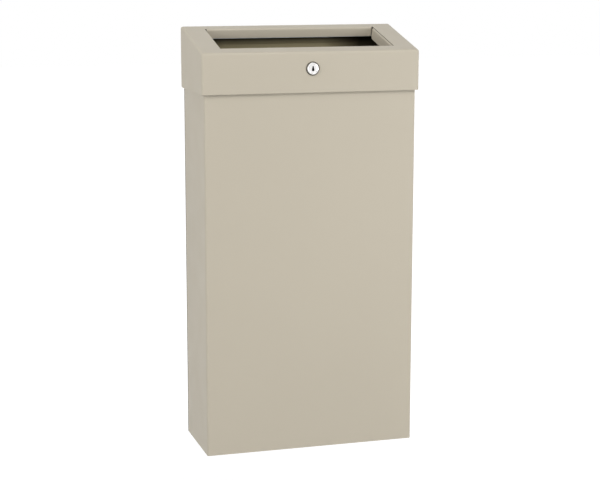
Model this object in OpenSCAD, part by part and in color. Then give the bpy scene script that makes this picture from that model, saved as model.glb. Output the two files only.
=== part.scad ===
// Wall-mounted waste bin: a painted steel box with a hinged, lockable cap.
// X runs along the wall, +Y points into the wall, +Z is up. The wall is the plane y = 0.
// Heights in the source are measured from the bottom edge of the body. The finished part is
// lowered so that its origin is the middle of the four wall fixing holes, on the wall.

/* [Body] */
// Width of the body along the wall
body_w = 350; // [300:1:400]
// Depth of the body from the wall to its front face
body_d = 144; // [130:1:200]
// Height of the front rim of the body
body_front_h = 606; // [500:1:700]
// Thickness of the body sheet
body_sheet = 1; // [0.8:0.1:1.5]
// Thickness of the back panel
back_sheet = 1.2; // [1:0.1:2]
// Inside radius of the bends in the sheet
bend_in_r = 2; // [1:0.1:3]
// Width of the flanges that return behind the body at its rear edges
return_w = 15; // [8:1:16]
// Depth of the front rim, from the front face to the back of its lip
rim_w = 12; // [9:1:13]
// Height of the lip that hangs from the front rim
rim_lip_h = 14; // [10:1:20]
// Width of the flanges along the tops of the sides
side_flange_w = 13; // [11:1:14]
// Height of the turned-up edges of the floor pan
pan_edge_h = 15; // [8:1:30]

/* [Cap] */
// How far the cap hangs down over the body's front rim
cap_lap = 20; // [14:1:24]
// Height of the cap's front face
cap_front_h = 64.5; // [60:0.5:80]
// Slope of the cap's top, in degrees
cap_slope = 13.4; // [10:0.1:18]
// How far the cap stands out past the front and sides of the body
cap_overhang = 4.5; // [3:0.1:8]
// Thickness of the cap's sheet
cap_sheet = 1.2; // [1:0.1:1.5]
// Outside radius of the cap's edges
cap_edge_r = 3; // [2:0.1:4]
// Radius of the rear lower corners of the cap's sides
cap_corner_r = 4; // [2:0.5:8]
// Clearance between the cap's rear edge and the wall
wall_gap = 0.4; // [0.3:0.1:1]

/* [Inlet] */
// Width of the cap's top beside the inlet, at each side
inlet_side = 35.5; // [34:0.5:60]
// Width of the cap's top in front of the inlet, along the slope
inlet_front = 26.5; // [20:0.5:40]
// Distance from the hinge pin to the inlet, along the slope
inlet_back = 16.8; // [16:0.1:30]
// Depth of the turned-down front and rear edges of the inlet
inlet_edge_h = 15; // [8:1:18]
// Outside radius of the inlet's bends
inlet_bend_r = 2.7; // [2:0.1:3]
// Gap between the ends of the turned-down edges and the cheeks
inlet_relief = 1; // [0.3:0.1:2]
// Depth of the cheeks at the inlet's two ends
cheek_h = 19.5; // [12:0.5:24]
// Thickness of the cheeks
cheek_sheet = 1.2; // [1:0.1:1.5]
// How far the cheeks' faces stand inside the cut
cheek_inset = 1.8; // [1:0.1:3]
// Width of the cheeks' hidden flanges under the top sheet
cheek_flange_w = 16; // [10:1:18]
// Radius of the cheeks' rear lower corners
cheek_corner_r = 5; // [2:0.5:8]
// Gap between the cheeks' rear ends and the inlet's rear edge
cheek_gap = 0.6; // [0.3:0.1:2]

/* [Hinge] */
// Distance from each side of the body to the end of the hinge
hinge_end = 17.5; // [17.5:0.5:40]
// Number of knuckles, an odd number
knuckle_count = 21; // [11:2:31]
// Radius of the hinge pin
hinge_pin_r = 1.5; // [1.25:0.05:1.75]
// Radial running clearance of the pin
pin_gap = 0.06; // [0.03:0.01:0.1]
// Thickness of the hinge leaves
leaf_sheet = 1.2; // [1:0.1:1.5]
// Width of the fixed leaf, down from the pin
fixed_leaf_w = 16; // [10:1:20]
// Width of the cap's leaf, forward from the pin
cap_leaf_w = 12; // [8:0.5:12.5]
// Clearance between neighbouring knuckles, and round each knuckle
knuckle_gap = 0.4; // [0.3:0.05:0.6]
// Depth of the hem on the back panel that the fixed leaf is welded to
hem_h = 22; // [18:1:30]

/* [Lock] */
// Height of the lock's axis over the cap's lower edge
lock_up = 38; // [36:0.5:44]
// Radius of the lock's head
lock_head_r = 11; // [10:0.1:13]
// Thickness of the lock's head
lock_head_t = 2.2; // [1.8:0.1:3]
// Width of the sloping rim round the lock's head
lock_rim_w = 1.8; // [0.8:0.1:2]
// Depth of the sloping rim
lock_rim_t = 1.2; // [0.6:0.1:1.5]
// Radius of the threaded barrel
lock_barrel_r = 9; // [8.5:0.1:9.5]
// Width across the barrel's two flats
lock_flats_w = 16; // [14:0.1:17]
// Clearance between the turned cam and the strike plate
cam_gap = 1.5; // [0.5:0.1:3]
// Clearance of the barrel in its hole and in its nut
barrel_gap = 0.1; // [0.05:0.05:0.2]
// Radius of the plug
plug_r = 6.2; // [5.5:0.1:6.5]
// Radius of the plug's face
plug_face_r = 7.5; // [7:0.1:8]
// Thickness of the plug's face
plug_face_t = 1.9; // [1:0.1:2]
// Radial running clearance of the plug
plug_gap = 0.06; // [0.03:0.01:0.1]
// Height of the keyway
keyway_h = 8; // [6:0.1:8.4]
// Width of the keyway at its narrow upper part
keyway_w = 1.6; // [1:0.1:2]
// Radius of the keyway's wide lower end
keyway_r = 1.6; // [1:0.05:1.8]
// Depth of the keyway
keyway_deep = 12; // [6:0.5:12]
// Reach of the cam from the lock's axis to its tip
cam_reach = 28; // [26:0.5:30]
// Width of the cam
cam_w = 12; // [11:0.5:14]
// Thickness of the cam
cam_t = 2; // [1.5:0.1:3]
// Width of the square end of the plug that the cam sits on
square_w = 7; // [6:0.1:7.5]
// Width across the flats of the lock's nut
nut_flats_w = 23; // [21:0.5:25]
// Thickness of the lock's nut
nut_t = 4; // [3:0.1:5]
// Thickness of the lock's washer
lock_washer_t = 0.8; // [0.5:0.1:1]
// Radius of the cam screw's thread
cam_screw_r = 2; // [1.5:0.1:2.5]
// Radius of the cam screw's head
cam_head_r = 4.2; // [3.5:0.1:5]
// Thickness of the strike plate
strike_t = 1.5; // [1:0.1:2]
// Width of the strike plate
strike_w = 70; // [66:1:90]
// Height of the strike plate
strike_h = 10; // [8:0.5:10]
// Radius of the strike plate's rivets
rivet_r = 1.6; // [1.2:0.1:2]
// Distance of the rivets from the ends of the strike plate
rivet_inset = 7; // [5:0.5:8]

/* [Bag frame] */
// Radius of the frame's wire
wire_r = 2.5; // [2:0.1:3]
// Distance from the body's sides to the middle of the wire
frame_side = 23; // [16:0.5:30]
// Distance from the body's front face to the middle of the front wire
frame_front = 28; // [26:0.5:34]
// Distance from the wall to the middle of the rear wire
frame_back = 16; // [12:0.5:22]
// How far the middle of the wire lies below the body's front rim
frame_drop = 6; // [2:0.5:12]
// Bend radius of the frame's corners, at the middle of the wire
frame_corner_r = 15; // [8:1:24]
// Clearance round the wire where it rests in the hooks
wire_gap = 0.35; // [0.3:0.05:0.6]
// Width of a hook
hook_w = 14; // [10:1:20]
// Thickness of a hook
hook_t = 2; // [1.5:0.1:2.5]
// Distance from the end of the frame's straight side to the middle of a hook
hook_inset = 4; // [0:0.5:10]
// Height of a hook's finger over the middle of the wire
finger_h = 6; // [4:0.5:10]

/* [Buffers] */
// Radius of a buffer's head
buffer_r = 4.2; // [3.5:0.1:4.5]
// Radius of a buffer's neck
buffer_neck_r = 2; // [1.5:0.1:2.5]
// Height of the space between the side flanges and the cap's top sheet
buffer_space = 6.8; // [5:0.1:8]
// Clearance over a buffer when the cap is closed
buffer_gap = 0.3; // [0.3:0.05:0.6]
// Distance of the front buffers from the cap's front edge, along the slope
buffer_front = 30; // [20:1:40]
// Distance of the rear buffers from the hinge pin, along the slope
buffer_back = 36; // [24:1:50]
// Space between a buffer's head and the bend of the side flange
buffer_edge = 0.6; // [0.3:0.1:1.5]

/* [Wall fixing] */
// Distance between the fixing holes along the wall
fix_w = 220; // [100:1:280]
// Distance between the fixing holes up the wall
fix_h = 380; // [200:1:420]
// Radius of the fixing holes
fix_r = 3.5; // [2.5:0.1:5]
// Height of the middle of the fixing holes
fix_z = 330; // [300:1:350]

/* [Hidden] */
$fn = 64;

// Colours, as red, green and blue
paint = [0.765, 0.733, 0.675];
zinc = [0.72, 0.73, 0.74];
chrome = [0.86, 0.87, 0.88];
dark_rubber = [0.12, 0.12, 0.12];

// A length that reaches past whatever it cuts
past = 1;
// Facets round the cap's rounded edges
edge_fn = 32;
// Clearance between pieces that are welded or pressed together
seat_gap = 0.1;
// Space between the top of the back panel and the cap's rear edge when the cap stands open
hem_gap = 0.7;
// How far the hem reaches past each end of the hinge
hem_end = 1;

// Body
bend_r = bend_in_r + body_sheet;
half_w = body_w / 2;
inner_x = half_w - body_sheet;
back_face = -back_sheet;

// Cap
half_cap = half_w + cap_overhang;
cap_rim_h = body_front_h - cap_lap;
cap_front_y = -body_d - cap_overhang;
cap_front_top = cap_rim_h + cap_front_h;
function cap_top(y) = cap_front_top + (y - cap_front_y) * tan(cap_slope);

// Side flanges of the body, measured square to the cap's top
side_drop = cap_sheet + buffer_space;
side_step_y = -body_d + bend_r + 2 * bend_r;
function along(y) = (y - cap_front_y) / cos(cap_slope);

// Hinge
bore_r = hinge_pin_r + pin_gap;
knuckle_r = bore_r + leaf_sheet;
hem_face = -2 * back_sheet;
pin_y = hem_face - knuckle_r;
pin_drop = knuckle_r + knuckle_gap + cap_sheet;
pin_z = cap_top(pin_y) - pin_drop / cos(cap_slope);
swing_r = -pin_y - wall_gap;
pin_along = along(pin_y) - pin_drop * tan(cap_slope);
hinge_l = body_w - 2 * hinge_end;
knuckle_pitch = hinge_l / knuckle_count;
// How far the top sheet reaches behind the pin, inside the swing radius
tail_l = sqrt(swing_r * swing_r - pin_drop * pin_drop);
hem_top = pin_z - tail_l - hem_gap;
hem_half = hinge_l / 2 + hem_end;
// Where the leaf of one side starts, clear of the other side's knuckles
fixed_leaf_top = sqrt(knuckle_r * knuckle_r - pow(knuckle_r - leaf_sheet, 2)) + knuckle_gap;

// Height to which the back panel and the returns reach beside the hinge
side_back_h = cap_top(-bend_r) - (side_drop + bend_r) / cos(cap_slope) - bend_r;

// Lock
lock_z = cap_rim_h + lock_up;
lock_barrel_l = cap_overhang + rim_w + strike_t + cam_gap;
plug_tail = lock_barrel_l + seat_gap;
cam_back = plug_tail + cam_t + seat_gap;
cam_washer_t = 0.8;
lip_back = -body_d + rim_w;

// Inlet
inlet_rear = pin_along - inlet_back;
inlet_w = 2 * (half_cap - inlet_side);
cheek_x = inlet_w / 2 - cheek_inset;

// Bag frame
frame_w = body_w - 2 * frame_side;
frame_d = body_d - frame_front - frame_back;
frame_y = -frame_back - frame_d / 2;
frame_z = body_front_h - frame_drop;

module both_sides() {
    children();
    mirror([1, 0, 0]) children();
}

// A section in y and z, drawn across the width
module across(w) {
    rotate([90, 0, 90]) linear_extrude(w, center = true) children();
}

// The frame of the cap's top: y runs up the slope from the front edge, z stands square to it
module on_slope() {
    translate([0, cap_front_y, cap_front_top]) rotate([cap_slope, 0, 0]) children();
}

// A section in x and z, drawn along y from one place to another
module lengthwise(from, to) {
    translate([0, to, 0]) rotate([90, 0, 0]) linear_extrude(to - from) children();
}

// The section of a square bend, in the first quadrant
module bend(r, sheet) {
    difference() {
        intersection() {
            circle(r);
            square(r);
        }
        circle(r - sheet);
    }
}

// Body

// The folded sheet seen from above
module wrap_plan() {
    translate([-half_w + bend_r, -body_d]) square([body_w - 2 * bend_r, body_sheet]);
    both_sides() {
        translate([half_w - bend_r, -body_d + bend_r]) mirror([0, 1]) bend(bend_r, body_sheet);
        translate([inner_x, -body_d + bend_r])
            square([body_sheet, body_d - 2 * bend_r - back_sheet]);
        translate([half_w - bend_r, back_face - bend_r]) bend(bend_r, body_sheet);
        translate([half_w - return_w, back_face - body_sheet])
            square([return_w - bend_r, body_sheet]);
    }
}

// The outline of the wrap seen from the side, up to where its top edges start to bend
module wrap_side_outline() {
    low = side_drop + bend_r;
    function side_top(y) = cap_top(y) - low / cos(cap_slope);
    polygon([
        [-body_d - past, 0],
        [past, 0],
        [past, side_back_h],
        [back_face - bend_r, side_back_h],
        [back_face - bend_r, side_top(back_face - bend_r)],
        [side_step_y, side_top(side_step_y)],
        [side_step_y, body_front_h - bend_r],
        [-body_d - past, body_front_h - bend_r]
    ]);
}

// The rim folded back from the front: a bend, a flat, a second bend and a hanging lip
module front_rim() {
    back = lip_back - bend_r;
    translate([-body_d + bend_r, body_front_h - bend_r]) mirror([1, 0]) bend(bend_r, body_sheet);
    translate([-body_d + bend_r, body_front_h - body_sheet])
        square([rim_w - 2 * bend_r, body_sheet]);
    translate([back, body_front_h - bend_r]) bend(bend_r, body_sheet);
    translate([lip_back - body_sheet, body_front_h - rim_lip_h])
        square([body_sheet, rim_lip_h - bend_r]);
}

// The flange along the top of one side, with its bend
module side_flange() {
    translate([half_w - bend_r, -side_drop - bend_r]) bend(bend_r, body_sheet);
    translate([half_w - side_flange_w, -side_drop - body_sheet])
        square([side_flange_w - bend_r, body_sheet]);
    translate([inner_x, -side_drop - 2 * bend_r]) square([body_sheet, bend_r]);
}

// Places for the rubber buffers on the side flanges
module at_buffers() {
    x = half_w - bend_r - buffer_r - buffer_edge;
    both_sides()
        on_slope()
            for (place = [buffer_front, pin_along - buffer_back])
                translate([x, place, -side_drop]) children();
}

module body_wrap() {
    color(paint) difference() {
        union() {
            intersection() {
                linear_extrude(cap_front_top + body_d) wrap_plan();
                across(body_w + 2 * past) wrap_side_outline();
            }
            across(body_w - 6 * bend_r) front_rim();
            both_sides()
                on_slope() lengthwise(along(side_step_y), along(back_face - 3 * bend_r)) side_flange();
        }
        at_buffers() translate([0, 0, -2 * bend_r])
            cylinder(r = buffer_neck_r + seat_gap, h = 2 * bend_r + past);
        at_strike_rivets() cylinder(r = rivet_r + seat_gap / 2, h = 2 * bend_r, center = true);
    }
}

module at_fixings() {
    for (x = [-1, 1], z = [-1, 1])
        translate([x * fix_w / 2, 0, fix_z + z * fix_h / 2]) children();
}

module back_panel() {
    color(paint) difference() {
        union() {
            translate([-half_w + seat_gap, back_face, 0])
                cube([body_w - 2 * seat_gap, back_sheet, side_back_h]);
            across(2 * hem_half) {
                translate([back_face, side_back_h - past])
                    square([back_sheet, hem_top - back_sheet - side_back_h + past]);
                translate([hem_face, hem_top - hem_h]) square([back_sheet, hem_h - back_sheet]);
                translate([back_face, hem_top - back_sheet]) circle(back_sheet);
            }
        }
        at_fixings() rotate([90, 0, 0])
            cylinder(r = fix_r, h = 4 * back_sheet, center = true);
    }
}

module floor_pan() {
    side = inner_x - seat_gap;
    front = -body_d + body_sheet + seat_gap;
    rear = back_face - body_sheet - seat_gap;
    notch = 2 * bend_r;
    color(paint) {
        translate([-side + bend_r, front + bend_r, 0])
            cube([2 * (side - bend_r), rear - front - 2 * bend_r, body_sheet]);
        across(2 * (side - notch)) {
            translate([front + bend_r, bend_r]) rotate(180) bend(bend_r, body_sheet);
            translate([front, bend_r]) square([body_sheet, pan_edge_h - bend_r]);
            translate([rear - bend_r, bend_r]) mirror([0, 1]) bend(bend_r, body_sheet);
            translate([rear - body_sheet, bend_r]) square([body_sheet, pan_edge_h - bend_r]);
        }
        both_sides() lengthwise(front + notch, rear - notch) {
            translate([side - bend_r, bend_r]) mirror([0, 1]) bend(bend_r, body_sheet);
            translate([side - body_sheet, bend_r]) square([body_sheet, pan_edge_h - bend_r]);
        }
    }
}

module cap_buffers() {
    head = buffer_space - buffer_gap;
    neck = body_sheet + 2 * seat_gap;
    bulb_r = 1.35 * buffer_neck_r;
    bulb_l = 1.5 * buffer_neck_r;
    edge = 0.12 * buffer_r;
    color(dark_rubber) at_buffers() rotate_extrude() polygon([
        [0, -neck - bulb_l],
        [0.8 * buffer_neck_r, -neck - bulb_l],
        [bulb_r, -neck - bulb_l / 4],
        [bulb_r, -neck],
        [buffer_neck_r, -neck],
        [buffer_neck_r, seat_gap / 2],
        [buffer_r - edge, seat_gap / 2],
        [buffer_r, seat_gap / 2 + edge],
        [buffer_r - edge, head - edge],
        [buffer_r - 2 * edge, head],
        [0, head]
    ]);
}

// Hinge

// Every second knuckle, counted from the first
module knuckles(first) {
    for (i = [first : 2 : knuckle_count - 1])
        translate([(i + 0.5) * knuckle_pitch - hinge_l / 2, 0, 0]) across(knuckle_pitch - knuckle_gap)
            children();
}

module hinge_fixed_leaf() {
    inner = knuckle_r - leaf_sheet;
    color(zinc) translate([0, pin_y, pin_z]) {
        knuckles(0) difference() {
            union() {
                circle(knuckle_r);
                translate([inner, -fixed_leaf_top]) square([leaf_sheet, fixed_leaf_top]);
            }
            circle(bore_r);
        }
        across(hinge_l - knuckle_gap)
            translate([inner, -fixed_leaf_w]) square([leaf_sheet, fixed_leaf_w - fixed_leaf_top]);
    }
}

module hinge_lid_leaf() {
    under = knuckle_r + knuckle_gap - leaf_sheet;
    start = sqrt(knuckle_r * knuckle_r - under * under) + knuckle_gap + 0.1;
    color(zinc) translate([0, pin_y, pin_z]) rotate([cap_slope, 0, 0]) {
        knuckles(1) difference() {
            union() {
                circle(knuckle_r);
                translate([-start, under]) square([start, leaf_sheet]);
            }
            circle(bore_r);
        }
        across(hinge_l - knuckle_gap)
            translate([-cap_leaf_w, under]) square([cap_leaf_w - start, leaf_sheet]);
    }
}

module hinge_pin() {
    color(zinc) translate([0, pin_y, pin_z]) across(hinge_l - knuckle_gap) circle(hinge_pin_r);
}

// Cap

// A ball whose facets touch all its square planes
module ball(r) {
    rotate_extrude($fn = edge_fn) intersection() {
        circle(r, $fn = edge_fn);
        translate([0, -r]) square([r, 2 * r]);
    }
}

// The solid wedge of the cap with edges rounded to r. Its faces lie cap_edge_r - r inside
// the cap's outer faces, so two of them leave a sheet of even thickness between them.
module cap_form(r) {
    x = half_cap - cap_edge_r;
    front = cap_front_y + cap_edge_r;
    rear = 4 * past;
    low = cap_rim_h - cap_edge_r - past;
    function core_top(y) = cap_top(y) - cap_edge_r / cos(cap_slope);
    hull() for (side = [-x, x], y = [front, rear]) {
        translate([side, y, low]) cylinder(r = r, h = core_top(y) - low, $fn = edge_fn);
        translate([side, y, core_top(y)]) rotate([cap_slope, 0, 0]) ball(r);
    }
}

// The cap seen from the side. Behind the pin it stays inside the swing radius, so that the
// opening cap clears the wall.
module cap_outline() {
    rear = pin_y + swing_r;
    high = cap_top(0) + cap_front_h;
    polygon([
        [cap_front_y - past, cap_rim_h],
        [rear - cap_corner_r, cap_rim_h],
        [rear - cap_corner_r, cap_rim_h + cap_corner_r],
        [rear, cap_rim_h + cap_corner_r],
        [rear, pin_z],
        [pin_y, pin_z],
        [pin_y, high],
        [cap_front_y - past, high]
    ]);
    translate([pin_y, pin_z]) circle(swing_r);
    translate([rear - cap_corner_r, cap_rim_h + cap_corner_r]) circle(cap_corner_r);
}

// The turned-down edge of the inlet, as a section in y and z: it bends down at y = 0
module inlet_edge() {
    translate([-inlet_bend_r, -inlet_bend_r]) bend(inlet_bend_r, cap_sheet);
    translate([-cap_sheet, -inlet_edge_h]) square([cap_sheet, inlet_edge_h - inlet_bend_r]);
}

module lid_shell() {
    edge_w = 2 * (cheek_x - inlet_relief);
    tail = pin_along + tail_l;
    color(paint) {
        difference() {
            intersection() {
                difference() {
                    cap_form(cap_edge_r);
                    cap_form(cap_edge_r - cap_sheet);
                }
                across(2 * half_cap + past) cap_outline();
            }
            on_slope() {
                translate([-inlet_w / 2, inlet_front - inlet_bend_r, -cap_sheet - past])
                    cube([inlet_w, inlet_rear - inlet_front + 2 * inlet_bend_r, cap_sheet + 2 * past]);
                translate([-half_cap + cap_edge_r, tail, -cap_edge_r])
                    cube([2 * (half_cap - cap_edge_r), 4 * past + swing_r, cap_edge_r + past]);
            }
            at_lock() barrel_section(barrel_gap, 2 * cap_sheet);
        }
        on_slope() across(edge_w) {
            translate([inlet_front, 0]) inlet_edge();
            translate([inlet_rear, 0]) mirror([1, 0]) inlet_edge();
        }
    }
}

// One cheek, on the side where x is positive
module cheek() {
    r = cheek_inset + cheek_sheet;
    front = inlet_front - inlet_bend_r / 2;
    rear = inlet_rear - cheek_gap;
    corner = cheek_corner_r;
    on_slope() intersection() {
        lengthwise(front, rear) translate([cheek_x, -cap_sheet]) {
            translate([r, -r]) mirror([1, 0]) bend(r, cheek_sheet);
            translate([0, -cheek_h + cap_sheet]) square([cheek_sheet, cheek_h - cap_sheet - r]);
            translate([r, -cheek_sheet]) square([cheek_flange_w - r, cheek_sheet]);
        }
        across(body_w) {
            translate([front - past, -cheek_h]) square([rear - front - corner + past, cheek_h]);
            translate([rear - corner, -cheek_h + corner]) circle(corner);
            translate([rear - corner, -cheek_h + corner]) square([corner + past, cheek_h]);
        }
    }
}

module cheek_right() {
    color(paint) cheek();
}

module cheek_left() {
    color(paint) mirror([1, 0, 0]) cheek();
}

// Lock. In its frame z runs into the bin from the cap's front face, and y points down.

module at_lock() {
    translate([0, cap_front_y, lock_z]) rotate([-90, 0, 0]) children();
}

// The double-D section of the barrel or, with a clearance, of its hole
module barrel_section(gap, length) {
    intersection() {
        cylinder(r = lock_barrel_r + gap, h = 2 * length, center = true);
        cube([lock_flats_w + 2 * gap, 4 * lock_barrel_r, 2 * length], center = true);
    }
}

module lock_housing() {
    color(chrome) at_lock() difference() {
        union() {
            translate([0, 0, -lock_head_t])
                cylinder(r1 = lock_head_r - lock_rim_w, r2 = lock_head_r, h = lock_rim_t);
            translate([0, 0, lock_rim_t - lock_head_t])
                cylinder(r = lock_head_r, h = lock_head_t - lock_rim_t);
            intersection() {
                barrel_section(0, lock_barrel_l);
                translate([0, 0, -seat_gap]) cylinder(r = lock_head_r, h = lock_barrel_l + seat_gap);
            }
        }
        translate([0, 0, -lock_head_t - past])
            cylinder(r = plug_r + plug_gap, h = lock_barrel_l + lock_head_t + 2 * past);
        translate([0, 0, -lock_head_t - past])
            cylinder(r = plug_face_r + plug_gap, h = plug_face_t + plug_gap + past);
    }
}

module lock_washer() {
    color(zinc) at_lock() translate([0, 0, cap_sheet]) difference() {
        cylinder(r = nut_flats_w / 2, h = lock_washer_t);
        translate([0, 0, -past]) cylinder(r = lock_barrel_r + barrel_gap, h = lock_washer_t + 2 * past);
    }
}

module lock_nut() {
    chamfer = 0.6;
    corner_r = nut_flats_w / sqrt(3);
    color(zinc) at_lock() translate([0, 0, cap_sheet + lock_washer_t]) difference() {
        intersection() {
            cylinder(r = corner_r, h = nut_t, $fn = 6);
            union() {
                cylinder(r = corner_r, h = nut_t - chamfer);
                translate([0, 0, nut_t - chamfer])
                    cylinder(r1 = corner_r, r2 = corner_r - 2 * chamfer, h = chamfer);
            }
        }
        translate([0, 0, -past]) cylinder(r = lock_barrel_r + barrel_gap, h = nut_t + 2 * past);
    }
}

// The keyway: a narrow upright slot with a wide round lower end
module keyway() {
    low = keyway_h / 2 - keyway_r;
    translate([0, low]) circle(keyway_r);
    polygon([
        [-keyway_w / 4, -keyway_h / 2],
        [keyway_w / 4, -keyway_h / 2],
        [keyway_w / 2, -keyway_h / 4],
        [keyway_r, low],
        [-keyway_r, low],
        [-keyway_w / 2, -keyway_h / 4]
    ]);
}

module lock_plug() {
    face = -lock_head_t;
    color(chrome) at_lock() difference() {
        union() {
            translate([0, 0, face]) cylinder(r = plug_face_r, h = plug_face_t);
            translate([0, 0, face]) cylinder(r = plug_r, h = plug_tail - face);
            translate([-square_w / 2, -square_w / 2, plug_tail - past])
                cube([square_w, square_w, past + cam_t]);
        }
        translate([0, 0, face - past]) linear_extrude(keyway_deep + past) keyway();
        translate([0, 0, keyway_deep + past]) cylinder(r = cam_screw_r + seat_gap / 2, h = cam_back);
    }
}

module lock_cam() {
    hole = square_w + 2 * seat_gap;
    color(zinc) at_lock() translate([0, 0, plug_tail + seat_gap / 2]) linear_extrude(cam_t)
        difference() {
            union() {
                circle(cam_w / 2);
                translate([0, -cam_w / 2]) square([cam_reach - cam_w / 2, cam_w]);
                translate([cam_reach - cam_w / 2, 0]) circle(cam_w / 2);
            }
            square(hole, center = true);
        }
}

module cam_washer() {
    color(zinc) at_lock() translate([0, 0, cam_back]) difference() {
        cylinder(r = cam_w / 2 - 0.5, h = cam_washer_t);
        translate([0, 0, -past]) cylinder(r = cam_screw_r + seat_gap, h = cam_washer_t + 2 * past);
    }
}

module cam_screw() {
    head_t = 2.4;
    slot_w = 1;
    start = cam_back + cam_washer_t + seat_gap;
    shank_l = start - keyway_deep - 2 * past;
    color(zinc) at_lock() translate([0, 0, start]) difference() {
        union() {
            translate([0, 0, -shank_l]) cylinder(r = cam_screw_r, h = shank_l + past);
            cylinder(r1 = cam_head_r, r2 = cam_head_r - 0.8, h = head_t);
        }
        translate([0, 0, head_t]) cube([2 * cam_head_r + past, slot_w, head_t], center = true);
        translate([0, 0, head_t]) cube([slot_w, 2 * cam_head_r + past, head_t], center = true);
    }
}

// Strike: a stiff plate riveted to the back of the front rim's lip

module at_strike_rivets() {
    for (x = [-1, 1])
        translate([x * (strike_w / 2 - rivet_inset), lip_back, body_front_h - bend_r - strike_h / 2])
            rotate([-90, 0, 0]) children();
}

module strike_plate() {
    color(zinc) difference() {
        translate([-strike_w / 2, lip_back, body_front_h - bend_r - strike_h])
            cube([strike_w, strike_t, strike_h]);
        at_strike_rivets() cylinder(r = rivet_r + seat_gap / 2, h = 4 * strike_t, center = true);
    }
}

module strike_rivets() {
    head_r = 1.9 * rivet_r;
    head_t = 0.6 * rivet_r;
    color(zinc) at_strike_rivets() rotate_extrude() polygon([
        [0, -body_sheet - head_t],
        [head_r / 2, -body_sheet - head_t],
        [head_r, -body_sheet - seat_gap / 2],
        [rivet_r, -body_sheet - seat_gap / 2],
        [rivet_r, strike_t + seat_gap / 2],
        [head_r, strike_t + seat_gap / 2],
        [head_r / 2, strike_t + head_t],
        [0, strike_t + head_t]
    ]);
}

// Bag frame

// Two opposite pairs of straight wires joined by four round corners
module bag_frame() {
    long = frame_w - 2 * frame_corner_r;
    short = frame_d - 2 * frame_corner_r;
    color(zinc) translate([0, frame_y, frame_z]) {
        for (side = [-1, 1]) {
            translate([0, side * frame_d / 2, 0]) across(long) circle(wire_r);
            translate([side * frame_w / 2, 0, 0]) lengthwise(-short / 2, short / 2) circle(wire_r);
        }
        for (turn = [0 : 3])
            translate([
                (turn == 0 || turn == 3 ? 1 : -1) * long / 2,
                (turn < 2 ? 1 : -1) * short / 2,
                0
            ])
                rotate(90 * turn) rotate_extrude(angle = 90)
                    translate([frame_corner_r, 0]) circle(wire_r);
    }
}

// A folded strip: a foot welded to the side wall, an arm under the wire and a finger inside it
module bag_hook() {
    wire_x = frame_w / 2;
    finger = wire_x - wire_r - wire_gap;
    arm = frame_z - wire_r - wire_gap;
    foot_h = 20;
    lengthwise(-hook_w / 2, hook_w / 2) {
        translate([inner_x - hook_t - seat_gap / 2, arm - hook_t]) square([hook_t, foot_h]);
        translate([finger - hook_t, arm - hook_t])
            square([inner_x - finger + hook_t - seat_gap / 2, hook_t]);
        translate([finger - hook_t, arm - hook_t])
            square([hook_t, wire_r + wire_gap + hook_t + finger_h]);
    }
}

module side_hooks() {
    place = frame_d / 2 - frame_corner_r - hook_inset;
    for (side = [-1, 1]) translate([0, frame_y + side * place, 0]) bag_hook();
}

module bag_hooks_right() {
    color(paint) side_hooks();
}

module bag_hooks_left() {
    color(paint) mirror([1, 0, 0]) side_hooks();
}

// Lowers a piece so that the origin is the middle of the wall fixing holes
module placed() {
    translate([0, 0, -fix_z]) children();
}

placed() body_wrap();
placed() back_panel();
placed() floor_pan();
placed() hinge_fixed_leaf();
placed() hinge_pin();
placed() strike_plate();
placed() strike_rivets();
placed() bag_hooks_left();
placed() bag_hooks_right();
placed() cap_buffers();
placed() bag_frame();
placed() lid_shell();
placed() cheek_left();
placed() cheek_right();
placed() hinge_lid_leaf();
placed() lock_housing();
placed() lock_nut();
placed() lock_washer();
placed() lock_plug();
placed() lock_cam();
placed() cam_washer();
placed() cam_screw();
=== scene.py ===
# %% [markdown]
# # A wall-mounted waste bin in painted sheet steel
#
# The bin is a tall, slim box of folded sheet with a folded cap over it. The cap turns on a long
# pin hinge at the wall, a small lock holds it shut, and waste goes in through a rectangular inlet
# in its sloping top. Nearly every visible surface is one sheet of steel with soft bends, so most
# of this lesson is about one idea: a folded line, carried through space, makes a folded sheet.
#
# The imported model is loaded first. It gives the exact place of every piece. The pieces made here
# lie where its pieces lie, and add the true bends, threads, welds and finishes.

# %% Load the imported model
from math import cos, pi, radians, sin, sqrt, tan

import bpy
import numpy as np
from mathutils import Matrix, Vector


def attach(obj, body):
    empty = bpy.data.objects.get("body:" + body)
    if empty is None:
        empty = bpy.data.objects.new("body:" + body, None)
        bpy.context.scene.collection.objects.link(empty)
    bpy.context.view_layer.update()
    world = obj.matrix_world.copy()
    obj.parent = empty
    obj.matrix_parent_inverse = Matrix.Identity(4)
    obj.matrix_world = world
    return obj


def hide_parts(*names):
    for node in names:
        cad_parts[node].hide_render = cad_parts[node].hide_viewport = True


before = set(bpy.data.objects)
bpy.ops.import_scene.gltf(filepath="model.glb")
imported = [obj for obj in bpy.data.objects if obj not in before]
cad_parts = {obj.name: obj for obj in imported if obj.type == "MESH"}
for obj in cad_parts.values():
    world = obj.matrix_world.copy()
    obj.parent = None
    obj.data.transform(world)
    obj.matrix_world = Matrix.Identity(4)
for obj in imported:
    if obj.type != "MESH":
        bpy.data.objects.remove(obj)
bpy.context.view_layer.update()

# %% [markdown]
# ## Sizes
#
# The sheet metal is worked out in millimetres from the bottom edge of the body, as a workshop
# drawing would give it, with the wall as the plane y = 0 and the front towards -y. One function
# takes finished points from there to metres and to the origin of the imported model, which is the
# middle of the four screw holes.

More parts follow.
